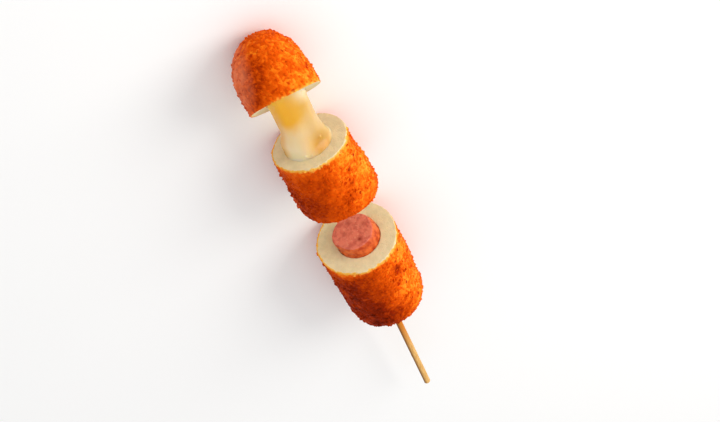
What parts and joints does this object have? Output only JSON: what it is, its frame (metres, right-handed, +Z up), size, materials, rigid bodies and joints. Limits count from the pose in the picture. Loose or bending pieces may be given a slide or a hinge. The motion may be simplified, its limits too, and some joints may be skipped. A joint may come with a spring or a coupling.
{
  "type": "corn dog",
  "caption": "Panko-crusted corn dog on a bamboo stick, cut across and pulled apart, with stretched cheese and a sausage showing at the cuts.",
  "frame": {"origin": "middle of the whole object's box, on the surface that the food lies on", "axes": "+X from the stick towards the rounded tip, +Z up, +Y to the left when looking towards the tip"},
  "size_m": [0.3134, 0.0538, 0.0508],
  "materials": {
    "crust": "fried breadcrumb crust, cream bread at the cuts",
    "cheese": "melted and stretched, moist",
    "sausage": "moist, mottled where cut",
    "bamboo": "plain bamboo, oil stained near the food"
  },
  "bodies": {
    "root": {"tip_dough": "crust", "middle_dough": "crust", "bottom_dough": "crust", "cheese": "cheese", "sausage": "sausage", "stick": "bamboo"}
  },
  "joints": []
}
